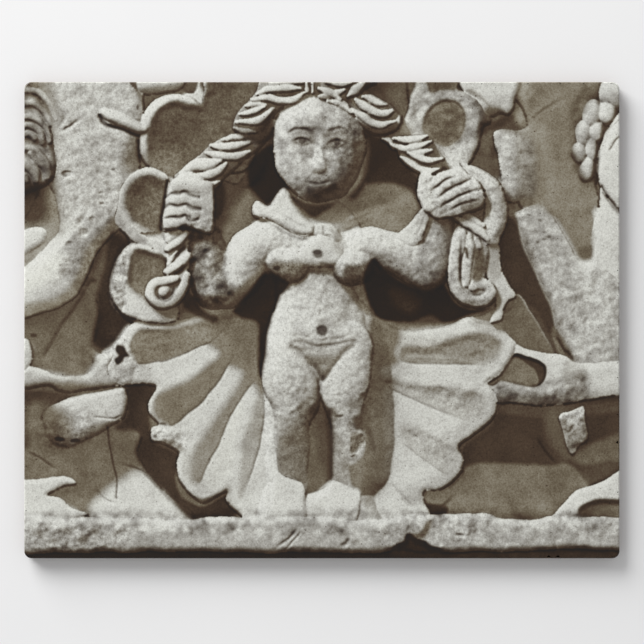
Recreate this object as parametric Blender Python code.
"""A photo plaque: one flat hardboard panel with small round corners, made to hang flat on a wall.

The front carries a printed picture in its gloss coat, so the picture has no thickness of its own. The back
has one keyhole that is cut into the board, for the head of a wall screw.

Frame: the origin is the middle of the back face, which lies on the wall. +X is to the right for someone who
looks at the picture, +Y points into the wall and +Z is up. The picture faces -Y.
"""

from math import acos, cos, pi, sin

import bmesh
import bpy

MM = 0.001

# The board: a landscape panel of 10 by 8 inches, cut from quarter-inch hardboard
BOARD_WIDTH = 254.0 * MM
BOARD_HEIGHT = 203.2 * MM
BOARD_THICKNESS = 6.35 * MM
CORNER_RADIUS = 3.0 * MM
FRONT_EDGE_ROUND = 0.5 * MM
BACK_EDGE_ROUND = 0.35 * MM

# The keyhole in the back: the screw's head goes in at the round mouth, and the board drops until the screw's
# shank is at the slot's upper end
SCREW_HEAD_DIAMETER = 8.0 * MM
SCREW_SHANK_DIAMETER = 4.0 * MM
HEAD_CLEARANCE = 0.8 * MM
SHANK_CLEARANCE = 0.4 * MM
SLOT_TRAVEL = 12.0 * MM
SLOT_BELOW_TOP_EDGE = 27.0 * MM
LIP_THICKNESS = 1.6 * MM
POCKET_DEPTH = 4.3 * MM
POCKET_SIDE_RELIEF = 0.2 * MM
CUTTER_OVERSHOOT = 1.0 * MM

PLANE_TOLERANCE = 0.01 * MM
CORNER_STEPS = 10
EDGE_STEPS = 3
KEYHOLE_STEPS = 20

PRINT_COLOUR = (0.42, 0.41, 0.37, 1.0)
HARDBOARD_COLOUR = (0.085, 0.052, 0.034, 1.0)


def clear_scene():
    for thing in list(bpy.data.objects):
        bpy.data.objects.remove(thing)


def plain_material(name, colour, roughness, coat):
    material = bpy.data.materials.new(name)
    material.use_nodes = True
    shader = material.node_tree.nodes["Principled BSDF"]
    shader.inputs["Base Color"].default_value = colour
    shader.inputs["Roughness"].default_value = roughness
    shader.inputs["Metallic"].default_value = 0.0
    shader.inputs["Coat Weight"].default_value = coat
    return material


def arc(centre_x, centre_z, radius, start, end, steps):
    """Points on an arc in the XZ plane, with both ends."""
    turn = (end - start) / steps
    angles = [start + turn * step for step in range(steps + 1)]
    return [(centre_x + radius * cos(a), centre_z + radius * sin(a)) for a in angles]


def rounded_rectangle(width, height, radius, steps):
    """The board's outline, anticlockwise as seen from the front."""
    reach_x = width / 2 - radius
    reach_z = height / 2 - radius
    outline = []
    for quarter, (side_x, side_z) in enumerate([(1, 1), (-1, 1), (-1, -1), (1, -1)]):
        start = quarter * pi / 2
        outline += arc(side_x * reach_x, side_z * reach_z, radius, start, start + pi / 2, steps)
    return outline


def stadium(centre_z, travel, radius, steps):
    """A slot's outline: two half circles, the upper one a travel above the lower one."""
    upper = arc(0.0, centre_z + travel, radius, 0.0, pi, steps)
    lower = arc(0.0, centre_z, radius, pi, 2 * pi, steps)
    return upper + lower


def keyhole(centre_z, travel, mouth_radius, neck_radius, steps):
    """The opening that shows in the back: a round mouth with a narrower slot above it."""
    neck_angle = acos(neck_radius / mouth_radius)
    upper = arc(0.0, centre_z + travel, neck_radius, 0.0, pi, steps)
    mouth = arc(0.0, centre_z, mouth_radius, pi - neck_angle, 2 * pi + neck_angle, 2 * steps)
    return upper + mouth


def prism(name, outline, front_y, back_y):
    """A closed solid with that outline in XZ, from front_y to back_y."""
    mesh = bpy.data.meshes.new(name)
    shape = bmesh.new()
    corners = [shape.verts.new((x, front_y, z)) for x, z in outline]
    front = shape.faces.new(corners)
    grown = bmesh.ops.extrude_face_region(shape, geom=[front])
    moved = [element for element in grown["geom"] if isinstance(element, bmesh.types.BMVert)]
    bmesh.ops.translate(shape, verts=moved, vec=(0.0, back_y - front_y, 0.0))
    bmesh.ops.recalc_face_normals(shape, faces=shape.faces)
    shape.to_mesh(mesh)
    shape.free()
    solid = bpy.data.objects.new(name, mesh)
    bpy.context.scene.collection.objects.link(solid)
    return solid


def soften_edges(solid, face_y, amount, steps):
    """Rounds the outline's edges that lie in the plane at face_y."""
    shape = bmesh.new()
    shape.from_mesh(solid.data)
    corners = {corner for corner in shape.verts if abs(corner.co.y - face_y) < PLANE_TOLERANCE}
    rim = [edge for edge in shape.edges if corners.issuperset(edge.verts)]
    bmesh.ops.bevel(shape, geom=rim, offset=amount, segments=steps, profile=0.5, affect="EDGES")
    shape.to_mesh(solid.data)
    shape.free()


def cut(solid, cutter):
    """Takes the cutter out of the solid, and keeps the cutter as a guide that isn't part of the object."""
    cutter.hide_render = True
    cutter.display_type = "WIRE"
    modifier = solid.modifiers.new("cut " + cutter.name, "BOOLEAN")
    modifier.operation = "DIFFERENCE"
    modifier.solver = "EXACT"
    modifier.object = cutter


def paint_front(solid, printed):
    """Gives the flat front face the printed material, in the solid's second slot."""
    solid.data.materials.append(printed)
    for face in solid.data.polygons:
        if face.normal.y < -0.5:
            face.material_index = 1


def make_board():
    outline = rounded_rectangle(BOARD_WIDTH, BOARD_HEIGHT, CORNER_RADIUS, CORNER_STEPS)
    board = prism("board", outline, -BOARD_THICKNESS, 0.0)
    soften_edges(board, -BOARD_THICKNESS, FRONT_EDGE_ROUND, EDGE_STEPS)
    soften_edges(board, 0.0, BACK_EDGE_ROUND, EDGE_STEPS)
    board.data.materials.append(plain_material("hardboard", HARDBOARD_COLOUR, 0.6, 0.0))
    paint_front(board, plain_material("printed gloss coat", PRINT_COLOUR, 0.3, 0.6))
    board.data.shade_smooth()
    board.data.set_sharp_from_angle(angle=pi / 6)
    return board


def cut_keyhole(board):
    mouth_radius = SCREW_HEAD_DIAMETER / 2 + HEAD_CLEARANCE
    neck_radius = SCREW_SHANK_DIAMETER / 2 + SHANK_CLEARANCE
    mouth_z = BOARD_HEIGHT / 2 - SLOT_BELOW_TOP_EDGE - SLOT_TRAVEL
    lip_overlap = (POCKET_DEPTH - LIP_THICKNESS) / 2
    opening = keyhole(mouth_z, SLOT_TRAVEL, mouth_radius, neck_radius, KEYHOLE_STEPS)
    cut(board, prism("keyhole_opening", opening, -LIP_THICKNESS - lip_overlap, CUTTER_OVERSHOOT))
    pocket = stadium(mouth_z, SLOT_TRAVEL, mouth_radius + POCKET_SIDE_RELIEF, KEYHOLE_STEPS)
    cut(board, prism("keyhole_pocket", pocket, -POCKET_DEPTH, -LIP_THICKNESS))


def main():
    clear_scene()
    board = make_board()
    cut_keyhole(board)


main()
